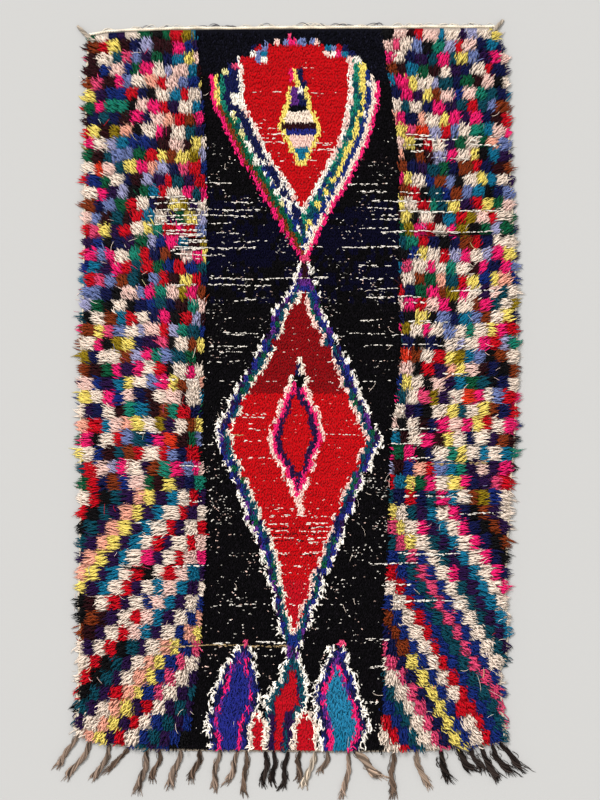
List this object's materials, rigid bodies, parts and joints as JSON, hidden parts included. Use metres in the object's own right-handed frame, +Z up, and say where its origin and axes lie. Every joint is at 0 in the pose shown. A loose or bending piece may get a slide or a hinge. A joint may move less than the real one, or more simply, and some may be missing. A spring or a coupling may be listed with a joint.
{
  "type": "boucherouite rug",
  "caption": "Flat rectangular rag-pile rug with long shaggy side columns, a clipped middle field, a cotton header cord and a splayed warp fringe.",
  "frame": {"origin": "the middle of the whole outline, fringe and tails included, on the underside that lies on the floor", "axes": "+Y along the rug's length, from the fringe towards the header cord; +X across the rug; +Z up, out of the pile"},
  "size_m": [1.4122, 2.3342, 0.0255],
  "materials": {
    "rag_pile": "knotted cotton and wool rag strips in many dyes, long and lying over at the sides, clipped short in the middle",
    "wool_warp": "undyed brown and grey plied wool, frayed at the tips",
    "natural_cotton": "undyed twisted cotton"
  },
  "bodies": {
    "root": {"rag_pile_cloth": "rag_pile", "warp_fringe": "wool_warp", "header_cord": "natural_cotton"}
  },
  "joints": []
}
